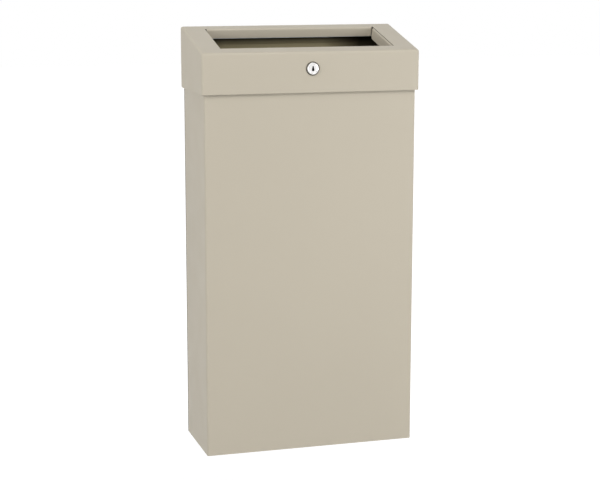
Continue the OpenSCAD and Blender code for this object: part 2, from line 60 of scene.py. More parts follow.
# %% The drawing's sizes
HOLES_UP = 330.0
HALF_W, DEPTH, FRONT_H = 175.0, 144.0, 606.0
SHEET, BACK_SHEET, BEND_R, FRONT_R = 1.0, 1.2, 3.0, 3.5
OVERHANG, CAP_LAP, CAP_FRONT_H, CAP_SHEET, CAP_R = 4.5, 20.0, 64.5, 1.2, 4.0
SLOPE = radians(13.4)
PIN_Y, PIN_R, KNUCKLE_R, WALL_GAP = -5.16, 1.5, 2.76, 0.4

HALF_CAP = HALF_W + OVERHANG
CAP_FRONT_Y = -DEPTH - OVERHANG
CAP_RIM = FRONT_H - CAP_LAP
CAP_FRONT_TOP = CAP_RIM + CAP_FRONT_H
LEAF_STEP = 0.4
PIN_DROP = KNUCKLE_R + LEAF_STEP + CAP_SHEET
SWING_R = -PIN_Y - WALL_GAP
LOCK_Z, BARREL_R, FLATS, BARREL_GAP = CAP_RIM + 38.0, 9.0, 16.0, 0.1

# Two places closer than this, in millimetres, count as one.
SLACK = 0.01


def cap_top(y):
    """Height of the cap's outer top face: a straight line that climbs towards the wall."""
    return CAP_FRONT_TOP + (y - CAP_FRONT_Y) * tan(SLOPE)


PIN_Z = cap_top(PIN_Y) - PIN_DROP / cos(SLOPE)


def in_frame(points):
    """Millimetres from the bottom edge become metres from the middle of the screw holes."""
    return (np.asarray(points, float) - (0.0, 0.0, HOLES_UP)) / 1000


def grid_of(x, y, z):
    """One array of points from three arrays of values, each repeated to the others' shape."""
    return np.stack(np.broadcast_arrays(x, y, z), -1)


def on_slope(x, up, out):
    """A point given by x, its distance up the slope from the cap's front edge, and its height
    square to the slope: the two distances are turned by the slope and added to the front edge."""
    y = CAP_FRONT_Y + up * cos(SLOPE) - out * sin(SLOPE)
    z = CAP_FRONT_TOP + up * sin(SLOPE) + out * cos(SLOPE)
    return grid_of(x, y, z)


def lock_points(x, deep, z):
    """Points given square to the lock's face: across, into the bin, and up from its axis."""
    return grid_of(x, CAP_FRONT_Y + deep, LOCK_Z + z)


print("hinge pin at", PIN_Y, round(PIN_Z, 3))

# %% [markdown]
# ## The camera
#
# The photograph was taken from the left and a little above, with a long lens, from about two and a
# half metres away. Its place was solved from the straight edges of the bin, and the long lens
# shows in how little the upright ones lean together.

# %% Place the camera
def placed(name, data):
    """A new object that shows this data, linked to the scene."""
    made = bpy.data.objects.new(name, data)
    bpy.context.scene.collection.objects.link(made)
    return made


SENSOR, FOCAL_PIXELS, PICTURE_PIXELS = 36.0, 1582.7, 600
CAMERA_AT, CAMERA_TURN, CAMERA_DOWN, CAMERA_ROLL = (-0.7344, -2.5429, 0.4882), -16.6, 10.62, 0.08
camera_data = bpy.data.cameras.new("camera")
camera_data.sensor_fit = "HORIZONTAL"
camera_data.sensor_width = SENSOR
camera_data.lens = SENSOR * FOCAL_PIXELS / PICTURE_PIXELS
camera = placed("camera", camera_data)
camera.matrix_world = (
    Matrix.Translation(CAMERA_AT)
    @ Matrix.Rotation(radians(CAMERA_TURN), 4, "Z")
    @ Matrix.Rotation(radians(90 - CAMERA_DOWN), 4, "X")
    @ Matrix.Rotation(radians(CAMERA_ROLL), 4, "Z")
)
bpy.context.scene.camera = camera
bpy.context.scene.view_settings.view_transform = "Standard"
print("lens", round(camera_data.lens, 1), "mm")

# %% [markdown]
# ## Floor and light
#
# A catalogue picture has a white ground and soft light from the front. Two large lamps stand low
# and quite near, at the left and the front right. Light from a near lamp falls off across the bin:
# the left side is brightest towards its front edge, where it meets the front in one tone, and the
# front grows brighter to the right. A lamp high above reaches into the inlet, a faint one behind
# shows the back, and the world adds a little light from all round. Together they are level with
# the paint: a grey written as 0.5 comes out at about 0.5.
#
# The eye and the polished metal see the world as plain white, and everything else sees it at its
# lower level. The floor is a pale matt plane that fades to white beyond the bin's soft shadow.

# %% Helpers for node trees
def join(tree, source, target):
    """Draws a wire from an output socket to an input socket."""
    tree.links.new(source, target)


def node(tree, kind, *first, **named):
    """Adds a node. Its first inputs take what is given in order, and others what is given by name,
    with underscores for spaces. An output socket is wired to its input, and a value is set."""
    made = tree.nodes.new("ShaderNode" + kind)
    inputs = [*made.inputs[: len(first)], *(made.inputs[name.replace("_", " ")] for name in named)]
    for target, given in zip(inputs, (*first, *named.values())):
        if isinstance(given, bpy.types.NodeSocket):
            join(tree, given, target)
        else:
            target.default_value = given
    return made


def maths(tree, operation, a, b=0.0):
    """One sum on two values or sockets."""
    made = node(tree, "Math", a, b)
    made.operation = operation
    return made.outputs[0]


def ranged(tree, value, low, high, to_low, to_high):
    """Takes a value from one range to another and holds it at the ends."""
    made = node(tree, "MapRange", value, From_Min=low, From_Max=high, To_Min=to_low, To_Max=to_high)
    return made.outputs["Result"]


def here(tree):
    """The Object coordinates, in metres from the frame's origin."""
    return node(tree, "TexCoord").outputs["Object"]


def length(tree, vector):
    """How long a vector is: the root of the sum of its parts' squares."""
    made = node(tree, "VectorMath", vector)
    made.operation = "LENGTH"
    return made.outputs["Value"]


def seen_directly(tree):
    """1 for rays from the eye and from polished metal, and 0 for light on paint."""
    path = node(tree, "LightPath").outputs
    return maths(tree, "MAXIMUM", path["Is Camera Ray"], path["Is Glossy Ray"])


# %% The world
SKY_LEVEL, WHITE = 0.27, (1, 1, 1, 1)
world = bpy.data.worlds.new("studio")
world.use_nodes = True
sky = world.node_tree
sky.nodes.clear()
soft = node(sky, "Background", Color=WHITE, Strength=SKY_LEVEL)
plain = node(sky, "Background", Color=WHITE, Strength=1.0)
choose = node(sky, "MixShader", seen_directly(sky), soft.outputs[0], plain.outputs[0])
node(sky, "OutputWorld", choose.outputs[0])
bpy.context.scene.world = world

# %% The lamps
# Each lamp's turn from the front, its rise, its distance in metres, and the level it lights to.
LAMPS = {
    "left_lamp": (-70, 17, 2.4, 0.50),
    "right_lamp": (42, 5, 2.4, 0.45),
    "upper_lamp": (6, 48, 4.5, 0.37),
    "rear_lamp": (165, 35, 4.5, 0.04),
}
LAMP_SHARE, LIT_POINT = 0.53, Vector((0, -0.07, 0.05))


def lamp_watts(level, away):
    """The power at which a lamp alone shows a white card that faces it at this level: pi squared
    times the distance squared."""
    return level * pi**2 * away**2


for name, (turn, rise, away, level) in LAMPS.items():
    turn, rise = radians(turn), radians(rise)
    towards = Vector((sin(turn) * cos(rise), -cos(turn) * cos(rise), sin(rise)))
    lamp_data = bpy.data.lights.new(name, "AREA")
    lamp_data.shape = "SQUARE"
    lamp_data.size = LAMP_SHARE * away
    lamp_data.energy = lamp_watts(level, away)
    facing = (-towards).to_track_quat("-Z", "Y").to_matrix().to_4x4()
    placed(name, lamp_data).matrix_world = Matrix.Translation(LIT_POINT + away * towards) @ facing
    print(name, round(lamp_data.energy), "W")

# %% The floor
FLOOR_Z, FLOOR_HALF, FLOOR_GREY = -0.63, 12.0, 0.4
NEAR_BIN, FAR_OUT, NEAR_GLOW = 0.7, 1.6, 0.74
floor_mesh = bpy.data.meshes.new("floor")
floor_mesh.from_pydata(
    [(x * FLOOR_HALF, y * FLOOR_HALF, FLOOR_Z) for x, y in ((-1, -1), (1, -1), (1, 1), (-1, 1))],
    [],
    [(0, 1, 2, 3)],
)
floor_white = bpy.data.materials.new("floor_white")
floor_white.use_nodes = True
ground = floor_white.node_tree
ground.nodes.clear()
far = ranged(ground, length(ground, here(ground)), NEAR_BIN, FAR_OUT, NEAR_GLOW, 1.0)
level = maths(ground, "MULTIPLY", far, seen_directly(ground))
matt = node(ground, "BsdfDiffuse", Color=(FLOOR_GREY, FLOOR_GREY, FLOOR_GREY, 1))
glow = node(ground, "Emission", Color=WHITE, Strength=level)
both = node(ground, "AddShader", matt.outputs[0], glow.outputs[0])
node(ground, "OutputMaterial", both.outputs[0])
floor_mesh.materials.append(floor_white)
floor = placed("floor", floor_mesh)

# %% [markdown]
# ## Powder coat
#
# The beige finish is a powder that is sprayed on dry and melted in an oven. It flows into a smooth
# skin with a very fine ripple, called orange peel, a few hundredths of a millimetre high. It is
# never quite even over a large sheet, so a slow, faint change of tone runs over the faces.
#
# Inside the bin the coat is painted much darker than outside, as painted shade. It is painted
# darkest in the upright inside corners, and its tone follows the distance from the nearest corner:
# painted shade that falls in corners. The right corners are painted darker than the left ones, and
# high on the back panel, under the inlet's rear edge, a painted shadow darkens it again. Cut edges
# are painted darker than the faces, as painted shade in the gaps along them.

# %% Materials: shared parts
def new_material(name, **sockets):
    """A material with one Principled shader, its node tree and that shader. The sockets are set
    directly."""
    material = bpy.data.materials.new(name)
    material.use_nodes = True
    shader = material.node_tree.nodes["Principled BSDF"]
    for socket, value in sockets.items():
        shader.inputs[socket.replace("_", " ")].default_value = value
    return material, material.node_tree, shader


def length_of(tree, x, y):
    """How long the vector with these two parts is."""
    return length(tree, node(tree, "CombineXYZ", x, y).outputs[0])


def axes(tree):
    """The Object coordinates as separate values."""
    return node(tree, "SeparateXYZ", here(tree)).outputs


def noise(tree, scale, detail=3.0, stretch=(1, 1, 1)):
    """Smooth noise on Object coordinates. The stretch makes its grain long in one direction."""
    mapping = node(tree, "Mapping", here(tree), Scale=stretch)
    grain = node(tree, "TexNoise", mapping.outputs[0], Scale=scale, Detail=detail)
    return grain.outputs["Fac"]


def spread(tree, value, low, high):
    """Takes the useful middle of a noise, 0.3 to 0.7, to the range from low to high."""
    return ranged(tree, value, 0.3, 0.7, low, high)


def tint(tree, shader, dark, light, value):
    """Lets a 0 to 1 value choose the base colour between two colours."""
    mix = node(tree, "Mix")
    mix.data_type = "RGBA"
    mix.inputs["A"].default_value = (*dark, 1)
    mix.inputs["B"].default_value = (*light, 1)
    join(tree, value, mix.inputs["Factor"])
    join(tree, mix.outputs["Result"], shader.inputs["Base Color"])


def mottle(tree, shader, dark, light, scale, detail=3.0):
    """Lets a noise choose the base colour between two colours."""
    tint(tree, shader, dark, light, spread(tree, noise(tree, scale, detail), 0, 1))


def roughen(tree, shader, low, high, scale, detail=3.0):
    """Lets a noise choose the roughness between two values."""
    join(tree, spread(tree, noise(tree, scale, detail), low, high), shader.inputs["Roughness"])


def ripple(tree, shader, value, height):
    """Turns a value into a bump of so many metres."""
    bump = node(tree, "Bump", Strength=1.0, Distance=height, Height=value)
    join(tree, bump.outputs["Normal"], shader.inputs["Normal"])


# %% The powder coat
# The second tone is the painted shade on cut edges.
BEIGE, CUT_EDGE_SHADE_TONE = np.array((0.545, 0.495, 0.400)), np.array((0.25, 0.226, 0.180))
DENT_SHADE_TONE, INSIDE_SHADED_TONE = (0.33, 0.30, 0.245), (0.425, 0.368, 0.225)
PEEL_SCALE, PEEL_HIGH = 420.0, 0.00003


def powder_coat(name, colour):
    """A matt powder coat of one colour, with its slow change of tone and its fine ripple."""
    coat, tree, shader = new_material(name, Specular_IOR_Level=0.22)
    mottle(tree, shader, colour * 0.985, colour * 1.015, 2.4)
    roughen(tree, shader, 0.44, 0.52, 22.0)
    ripple(tree, shader, noise(tree, PEEL_SCALE, 2.0), PEEL_HIGH)
    return coat


paint = powder_coat("beige_powder_coat", BEIGE)
# Cut edges take a darker coat: painted shade in the gaps along them.
cut_edge_painted_shade = powder_coat("cut_edges_painted_shade", CUT_EDGE_SHADE_TONE)

# %% The inside coat, with painted shade
# In metres: half the inside's width and depth, how far left the painted shade's middle lies, and
# how far from a corner the painted shade starts to lift and is gone.
HALF_WIDE, HALF_DEEP, SHADE_SHIFT_LEFT, SHADE_DARKEST_WITHIN, SHADE_ENDS_PAST = 0.174, 0.072, 0.022, 0.025, 0.09
# The share of the lit tone left in a corner and high on the panel, and the height in metres at
# which the painted shadow high on the panel is darkest.
CORNER_SHADE_LEVEL, HIGH_SHADOW_LEVEL, PANEL_SHADOW_FROM = 0.1, 0.13, 0.333


def shaded_inside_coat(name, shadow_above=1.0):
    """The inside coat with painted shade: its tone lightens with the distance from the nearest
    upright corner, and darkens again, as a painted shadow, over the last ten millimetres under a
    given height."""
    coat, tree, shader = new_material(name, Specular_IOR_Level=0.05)
    at = axes(tree)
    from_shade_middle = maths(tree, "ABSOLUTE", maths(tree, "ADD", at["X"], SHADE_SHIFT_LEFT))
    from_side = maths(tree, "SUBTRACT", HALF_WIDE, from_shade_middle)
    from_middle = maths(tree, "ABSOLUTE", maths(tree, "ADD", at["Y"], HALF_DEEP))
    from_corner = length_of(tree, from_side, maths(tree, "SUBTRACT", HALF_DEEP, from_middle))
    lit_share = ranged(tree, from_corner, SHADE_DARKEST_WITHIN, SHADE_ENDS_PAST, CORNER_SHADE_LEVEL, 1.0)
    lit_share = maths(tree, "MULTIPLY", lit_share, spread(tree, noise(tree, 6.0), 0.88, 1.0))
    below_shadow = ranged(tree, at["Z"], shadow_above - 0.01, shadow_above, 1.0, HIGH_SHADOW_LEVEL)
    lit_share = maths(tree, "MULTIPLY", lit_share, below_shadow)
    tint(tree, shader, (0.0, 0.0, 0.0), INSIDE_SHADED_TONE, lit_share)
    roughen(tree, shader, 0.6, 0.7, 30.0)
    ripple(tree, shader, noise(tree, PEEL_SCALE, 2.0), PEEL_HIGH)
    return coat


# Both materials paint shade inside the bin: one for the sheets, one for the back panel with its
# painted shadow under the hem.
inside_painted_shade = shaded_inside_coat("inside_coat_with_painted_shade")
panel_painted_shade = shaded_inside_coat("panel_coat_with_painted_shade", PANEL_SHADOW_FROM)

# %% The coat on the back, with the marks of its spot welds
# Marks lie one step apart up both sides. Twenty added steps keep the count positive, and the half
# puts a mark wherever the height is a whole number of steps.
WELD_X, WELD_STEP, MARK_R, MARK_DEEP, STEPS_ADDED = 0.1675, 0.06, 0.003, 0.0003, 20.5
welded_paint = powder_coat("coat_over_welds", BEIGE)
tree = welded_paint.node_tree
at = axes(tree)
across_weld = maths(tree, "SUBTRACT", maths(tree, "ABSOLUTE", at["X"]), WELD_X)
steps_up = maths(tree, "ADD", maths(tree, "DIVIDE", at["Z"], WELD_STEP), STEPS_ADDED)
from_mark = maths(tree, "SUBTRACT", maths(tree, "FRACT", steps_up), 0.5)
up_weld = maths(tree, "MULTIPLY", from_mark, WELD_STEP)
dent = ranged(tree, length_of(tree, across_weld, up_weld), 0.7 * MARK_R, MARK_R, -1.0, 0.0)
peel = maths(tree, "MULTIPLY", noise(tree, PEEL_SCALE, 2.0), PEEL_HIGH / MARK_DEEP)
shader = tree.nodes["Principled BSDF"]
ripple(tree, shader, maths(tree, "ADD", dent, peel), MARK_DEEP)
# Each weld dent is painted darker towards its middle, as painted shade in the dent.
tint(tree, shader, DENT_SHADE_TONE, BEIGE, maths(tree, "ADD", dent, 1.0))

# %% [markdown]
# ## Bare metals and rubber
#
# The hinge, the bag's wire and the lock's hidden hardware are zinc plated: bluish grey, slightly
# mottled, with faint drawing lines. The lock's head is bright chrome, hard and nearly mirror
# smooth. Its rim is painted near-black, a painted dark reflection and shade, and its keyway is
# painted near-black as painted shade. The buffers that the cap closes on are black rubber.

# %% Zinc, chrome and rubber
zinc, tree, shader = new_material("zinc_plate", Metallic=1.0)
mottle(tree, shader, (0.44, 0.45, 0.46), (0.58, 0.60, 0.61), 160.0, 4.0)
roughen(tree, shader, 0.3, 0.46, 60.0)
ripple(tree, shader, noise(tree, 900.0, 2.0, (0.1, 1, 1)), 0.00001)

LOCK_UP = (LOCK_Z - HOLES_UP) / 1000


def turned_metal(name, dark, light, rough):
    """Metal with the fine rings of a lathe: a noise that depends only on the distance from the
    lock's axis chooses the tone."""
    metal, tree, shader = new_material(name, Metallic=1.0)
    at = axes(tree)
    rings = node(tree, "TexNoise", Scale=1400.0, Detail=2.0)
    rings.noise_dimensions = "1D"
    from_axis = length_of(tree, at["X"], maths(tree, "SUBTRACT", at["Z"], LOCK_UP))
    join(tree, from_axis, rings.inputs["W"])
    tint(tree, shader, dark, light, spread(tree, rings.outputs["Fac"], 0, 1))
    roughen(tree, shader, rough, 2 * rough, 500.0, 4.0)
    return metal


chrome = turned_metal("bright_chrome", (0.71, 0.70, 0.69), (0.93, 0.915, 0.905), 0.08)
# The rim's near-black tone is a painted dark reflection and shade on the head's sloping rim.
rim_painted_dark = turned_metal("rim_with_painted_dark_reflection", (0.07, 0.065, 0.055), (0.12, 0.11, 0.09), 0.25)

# The keyway is painted near-black: painted shade in its depth.
keyway_painted_shade, tree, shader = new_material("keyway_in_painted_shade", Specular_IOR_Level=0.05)
mottle(tree, shader, (0.004, 0.004, 0.004), (0.008, 0.007, 0.006), 900.0)
roughen(tree, shader, 0.5, 0.7, 700.0)

rubber, tree, shader = new_material("black_rubber", Specular_IOR_Level=0.3)
mottle(tree, shader, (0.012, 0.012, 0.012), (0.022, 0.022, 0.021), 400.0)
roughen(tree, shader, 0.7, 0.85, 700.0)
ripple(tree, shader, noise(tree, 1500.0, 2.0), 0.00002)
print("materials", bpy.data.materials.keys())

# %% [markdown]
# ## Surfaces from grids
#
# Every new piece is a grid of points, worked out as a whole array. Two parameters run over the
# grid, and neighbouring points are joined into four-sided faces. Where a piece needs a hole or is
# made of several patches, faces are left out, or patches that share a line are merged along it.

# %% From grids to a piece
# Points merge when they are the same to this many steps a metre, and edges sharper than this many
# degrees shade crisply.
MERGE_STEPS, SHARP = 1e7, 35


def quads(rows, columns, start, keep):
    """Corner numbers of the faces of one grid. A face looks towards rows cross columns, the
    direction that a right hand's thumb gives. keep says which faces are wanted."""
    at = np.arange(rows * columns).reshape(rows, columns) + start
    corners = np.stack([at[:-1, :-1], at[1:, :-1], at[1:, 1:], at[:-1, 1:]], -1)
    return corners.reshape(-1, 4) if keep is None else corners[keep]


def corners_left(faces):
    """Sorts four-sided faces after their points were merged. A face that has lost one corner, as
    at a pole, becomes a triangle, and one that has lost more is dropped."""
    lost = faces == np.roll(faces, -1, axis=1)
    pointed = lost.sum(1) == 1
    others = (np.argmax(lost[pointed], 1)[:, None] + (1, 2, 3)) % 4
    return faces[~lost.any(1)].tolist() + np.take_along_axis(faces[pointed], others, 1).tolist()


def piece(name, patches, material, body, slot, *nodes, **sheet):
    """One object from a list of grids, or of (grid, keep) pairs. Points that coincide are merged
    and unused ones dropped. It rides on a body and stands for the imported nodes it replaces. A
    sheet's thickness and its other coats are given by name."""
    points, faces, start = [], [], 0
    for patch in patches:
        grid, keep = patch if isinstance(patch, tuple) else (patch, None)
        points.append(in_frame(grid).reshape(-1, 3))
        faces.append(quads(*grid.shape[:2], start, keep))
        start += len(points[-1])
    points, faces = np.concatenate(points), np.concatenate(faces)
    keys = np.round(points * MERGE_STEPS).astype(np.int64)
    _, first, same = np.unique(keys, axis=0, return_index=True, return_inverse=True)
    points, faces = points[first], same.reshape(-1)[faces]
    used, faces = np.unique(faces, return_inverse=True)
    mesh = bpy.data.meshes.new(name)
    mesh.from_pydata(points[used].tolist(), [], corners_left(faces.reshape(-1, 4)))
    mesh.validate()
    mesh.polygons.foreach_set("use_smooth", np.ones(len(mesh.polygons), bool))
    mesh.materials.append(material)
    made = placed(name, mesh)
    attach(made, body)
    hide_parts(*nodes)
    finish_mesh(made, **sheet)
    return made


def finish_mesh(made, thickness=0.0, inside=None, cut=None):
    """Gives a sheet its thickness in millimetres, on the side that its faces turn away from, and
    marks its sharp edges, so that cut edges shade crisply and bends softly. The new faces within
    and the cut edges can have materials of their own. A crease can throw a new point past the
    outer face, so all are held within its box."""
    if thickness:
        for extra in (inside, cut):
            if extra:
                made.data.materials.append(extra)
        low, high = np.array(made.bound_box)[[0, 6]]
        solid = made.modifiers.new("thickness", "SOLIDIFY")
        solid.thickness, solid.offset, solid.use_even_offset = thickness / 1000, -1, True
        solid.material_offset, solid.material_offset_rim = (1 if inside else 0), (2 if cut else 0)
        graph = bpy.context.evaluated_depsgraph_get()
        made.data = bpy.data.meshes.new_from_object(made.evaluated_get(graph))
        made.modifiers.clear()
        vertices = made.data.vertices
        points = np.empty(3 * len(vertices))
        vertices.foreach_get("co", points)
        vertices.foreach_set("co", np.clip(points.reshape(-1, 3), low, high).reshape(-1))
    made.data.set_sharp_from_angle(angle=radians(SHARP))
    print(made.name, len(made.data.polygons), "faces")


def recoat(made, material, test):
    """Gives another material to the faces whose middles, in the drawing's millimetres, pass a
    test."""
    polygons = made.data.polygons
    middles, which = np.empty(3 * len(polygons)), np.empty(len(polygons), np.int32)
    polygons.foreach_get("center", middles)
    polygons.foreach_get("material_index", which)
    chosen = test(*(middles.reshape(-1, 3) * 1000 + (0.0, 0.0, HOLES_UP)).T)
    which[chosen] = len(made.data.materials)
    made.data.materials.append(material)
    polygons.foreach_set("material_index", which)
    print(made.name, np.count_nonzero(chosen), "faces in", material.name)


def mirrored(grid):
    """The same patch on the other side of the bin. Its rows are turned round so that its faces
    still look outwards."""
    return (grid * (-1, 1, 1))[::-1]


# %% [markdown]
# ## Folded lines
#
# A press brake folds a flat sheet over a rounded tool, so each corner of the sheet's section is an
# arc. The helper takes the sharp corners of a section and rounds each one. The corner's arc starts
# and ends where a circle of the bend's radius touches the two straight parts.

# %% Round the corners of a line
def folded(corners, radii, steps=8):
    """A line through sharp corners, each replaced by an arc: the arc's centre lies on the corner's
    bisector, radius / sin(half angle) away, and its points turn evenly round that centre."""
    corners = np.asarray(corners, float)
    line = [corners[:1]]
    for before, at, after, r in zip(corners[:-2], corners[1:-1], corners[2:], radii):
        if r == 0:
            line.append(at[None])
            continue
        a, b = ((end - at) / np.linalg.norm(end - at) for end in (before, after))
        half = np.arccos(np.clip(a @ b, -1, 1)) / 2
        centre = at + (a + b) / np.linalg.norm(a + b) * r / sin(half)
        start, end = at + a * r / tan(half) - centre, at + b * r / tan(half) - centre
        turn = np.arctan2(start[0] * end[1] - start[1] * end[0], start @ end)
        angle, square = np.linspace(0, turn, steps + 1)[:, None], np.array([-start[1], start[0]])
        line.append(centre + start * np.cos(angle) + square * np.sin(angle))
    line.append(corners[-1:])
    return np.concatenate(line)


def filled(line, longest=25.0):
    """The same line with extra points, so that no straight part is longer than a length."""
    parts = [line[:1]]
    for a, b in zip(line[:-1], line[1:]):
        n = max(1, int(np.ceil(np.linalg.norm(b - a) / longest)))
        parts.append(a + (b - a) * np.linspace(0, 1, n + 1)[1:, None])
    return np.concatenate(parts)


def run(line):
    """How far along a line each of its points lies."""
    return np.concatenate([[0], np.cumsum(np.linalg.norm(np.diff(line, axis=0), axis=1))])


def stops(*places, longest=25.0):
    """Places along one axis, with even steps between them that are no longer than a length."""
    return filled(np.array(places, float)[:, None], longest)[:, 0]


# %% [markdown]
# ## The body's wrap
#
# One sheet makes the front, both sides and the two narrow flanges behind them. Seen from above it
# is a folded line, and carrying that line upwards makes the walls. The sides end in a slope under
# the cap, and the front ends lower down, in a rim that is folded back and down so that nobody
# meets a raw edge when the bag is changed.
#
# Each bend is a true arc, and the large front bows outwards by a few tenths of a millimetre, as
# thin sheet does. A cut-out solid box would lack both.

# %% Walls of the body
SIDE_DROP, RETURN_W, RIM_W, RIM_LIP, FLANGE_W, RIM_END = 8.0, 15.0, 12.0, 14.0, 13.0, 9.0
STEP_Y, FLANGE_END_Y, BACK_Y = -DEPTH + 3 * BEND_R, -BACK_SHEET - 3 * BEND_R, -BACK_SHEET
BOW, WALL_ROWS = 0.3, 26
WALL_TOP = FRONT_H - BEND_R
SIDE_BACK_H = cap_top(-BEND_R) - (SIDE_DROP + BEND_R) / cos(SLOPE) - BEND_R

half_plan = filled(
    folded(
        [
            (0, -DEPTH), (HALF_W - RIM_END, -DEPTH), (HALF_W, -DEPTH), (HALF_W, STEP_Y),
            (HALF_W, FLANGE_END_Y), (HALF_W, BACK_Y), (HALF_W - RETURN_W, BACK_Y),
        ],
        [0, FRONT_R, 0, 0, BEND_R],
    )
)
plan = np.concatenate([(half_plan * (-1, 1))[:0:-1], half_plan])


def walls(line, low, high):
    """A line on the floor plan, carried upwards: height grows evenly from low to high at each
    point of the line. The front bows outwards by a squared cosine across it times a half wave of a
    sine up it, so its four edges stay straight."""
    z = low + (high - low)[:, None] * np.linspace(0, 1, WALL_ROWS)
    x, y = line[:, :1], line[:, 1:]
    bow = BOW * np.cos(pi * x / 2 / HALF_W) ** 2 * np.sin(pi * z / WALL_TOP)
    return grid_of(x, y - np.where(np.isclose(y, -DEPTH), bow, 0), z)


def side_top(y):
    """Where a side wall ends and its flange begins to bend, a fixed depth under the cap's top."""
    slope_top = cap_top(y) - (SIDE_DROP + BEND_R) / cos(SLOPE)
    return np.where(y > FLANGE_END_Y + SLACK, SIDE_BACK_H, slope_top)


side_line = half_plan[half_plan[:, 1] >= STEP_Y - SLACK]
lower = walls(plan, 0.0, np.full(len(plan), WALL_TOP))
upper = walls(side_line, WALL_TOP, side_top(side_line[:, 1]))

# %% Front rim, side flanges, and the whole wrap
rim_back = -DEPTH + RIM_W
rim = folded(
    [(-DEPTH, WALL_TOP), (-DEPTH, FRONT_H), (rim_back, FRONT_H), (rim_back, FRONT_H - RIM_LIP)],
    [BEND_R, BEND_R],
)
on_front = (plan[:, 1] < -DEPTH + SLACK) & (abs(plan[:, 0]) < HALF_W - RIM_END + SLACK)
rim_grid = grid_of(plan[on_front, 0][::-1], rim[:, :1], rim[:, 1:])

flange = folded(
    [(HALF_W, -SIDE_DROP - BEND_R), (HALF_W, -SIDE_DROP), (HALF_W - FLANGE_W, -SIDE_DROP)], [BEND_R]
)
flange_y = side_line[side_line[:, 1] <= FLANGE_END_Y + SLACK, 1][::-1]
flange_grid = grid_of(flange[:, :1], flange_y, cap_top(flange_y) + flange[:, 1:] / cos(SLOPE))
piece(
    "body_sheet",
    [lower, upper, mirrored(upper), rim_grid, flange_grid, mirrored(flange_grid)],
    paint, "bin", "paint", "body_wrap", thickness=SHEET, inside=inside_painted_shade, cut=cut_edge_painted_shade,
)

# %% [markdown]
# ## The back panel
#
# The back is a flat sheet that lies against the wall. Four holes take its screws. In its middle
# the top edge reaches higher and is folded flat onto itself, so that the hinge has two layers of
# steel to hold on to.
#
# A flat grid can't hold a round hole. So a square of cells is left out round each hole, and a
# patch fills it whose rows run from the hole's circle out to the square: each point lies on a
# straight line between the two, at a share of the way.

# %% Plate with round holes
HOLE_X, HOLE_Z, HOLE_R, HEM_H, HEM_HALF, CELL = 110.0, 190.0, 3.5, 22.0, 158.5, 3.0
HEM_GAP, HEM_AIR, PANEL_GAP = 0.7, 0.02, 0.1
PANEL_HALF = HALF_W - PANEL_GAP
HEM_TOP = PIN_Z - sqrt(SWING_R**2 - PIN_DROP**2) - HEM_GAP
around = CELL * np.arange(-4, 5)
hole_columns, hole_rows = (-HOLE_X, HOLE_X), (HOLES_UP - HOLE_Z, HOLES_UP + HOLE_Z)
beside, above = ((near + around, far + around) for near, far in (hole_columns, hole_rows))
panel_x = stops(-PANEL_HALF, -HEM_HALF, *beside[0], *beside[1], HEM_HALF, PANEL_HALF)
panel_z = stops(0, *above[0], *above[1], SIDE_BACK_H)
plate_grid = grid_of(panel_x[:, None], 0.0, panel_z)[::-1]


def near_hole(values, places):
    """True for the cells, between neighbouring values, that lie within a hole's square."""
    middle = (values[:-1] + values[1:]) / 2
    return np.any(abs(middle[:, None] - np.array(places)) < around[-1], axis=1)


keep_plate = ~(near_hole(panel_x[::-1], hole_columns)[:, None] & near_hole(panel_z, hole_rows))

side = np.stack([np.full(8, around[-1]), around[:-1]], -1)
square = np.concatenate([side, side[:, ::-1] * (-1, 1), -side, side[:, ::-1] * (1, -1), side[:1]])
part_way = np.array([0, 0.08, 0.3, 1.0])[:, None, None]


def hole_patch(radius, flats=np.inf):
    """Rows from a hole's edge out to the square. The edge is a circle, and two flats hold back its
    sideways values."""
    circle = radius * square / np.linalg.norm(square, axis=1, keepdims=True)
    edge = np.clip(circle, (-flats / 2, -np.inf), (flats / 2, np.inf))
    return edge + (square - edge) * part_way


screw_hole = hole_patch(HOLE_R)
holes = [
    grid_of(x + screw_hole[..., 0], 0.0, z + screw_hole[..., 1])[::-1]
    for x in hole_columns
    for z in hole_rows
]

# %% Hem, and the whole panel
hem_y = -2 * BACK_SHEET
hem_line = folded(
    [(0, SIDE_BACK_H), (0, HEM_TOP), (hem_y, HEM_TOP), (hem_y, HEM_TOP - HEM_H)],
    [BACK_SHEET, BACK_SHEET], steps=6,
)
hem_x = panel_x[abs(panel_x) < HEM_HALF + SLACK]
hem_grid = grid_of(hem_x, hem_line[:, :1], hem_line[:, 1:])
# A little air keeps the hem's two layers apart. The front one lies inside the bin.
back_panel = piece(
    "back_sheet", [(plate_grid, keep_plate), *holes, hem_grid], welded_paint, "bin", "paint",
    "back_panel", thickness=BACK_SHEET - HEM_AIR, inside=panel_painted_shade,
)
# The panel's inner faces take the painted shade of the inside.
recoat(back_panel, panel_painted_shade, lambda x, y, z: y < -BACK_SHEET - 0.3)

# %% [markdown]
# ## The floor pan
#
# The floor is a tray with four edges turned up and welded inside the wrap. Each edge is a folded
# line carried along one side, and stops short of the corners, where the flat sheet was notched.

# %% Floor pan
PAN_EDGE, NOTCH, PAN_GAP = 15.0, 6.0, 0.1
pan_x = HALF_W - SHEET - PAN_GAP
pan_front, pan_rear = -DEPTH + SHEET + PAN_GAP, -BACK_SHEET - SHEET - PAN_GAP
edge = folded([(-BEND_R, 0), (0, 0), (0, PAN_EDGE)], [BEND_R])


def pan_edge(at, direction, along_x, from_to):
    """One turned-up edge: the folded line lies square to the side at a place, and is carried
    between two other places. Its faces look down and outwards."""
    places, out = stops(*from_to), at + direction * edge[:, :1]
    return grid_of(*((places, out) if along_x else (out, places)), edge[:, 1:])


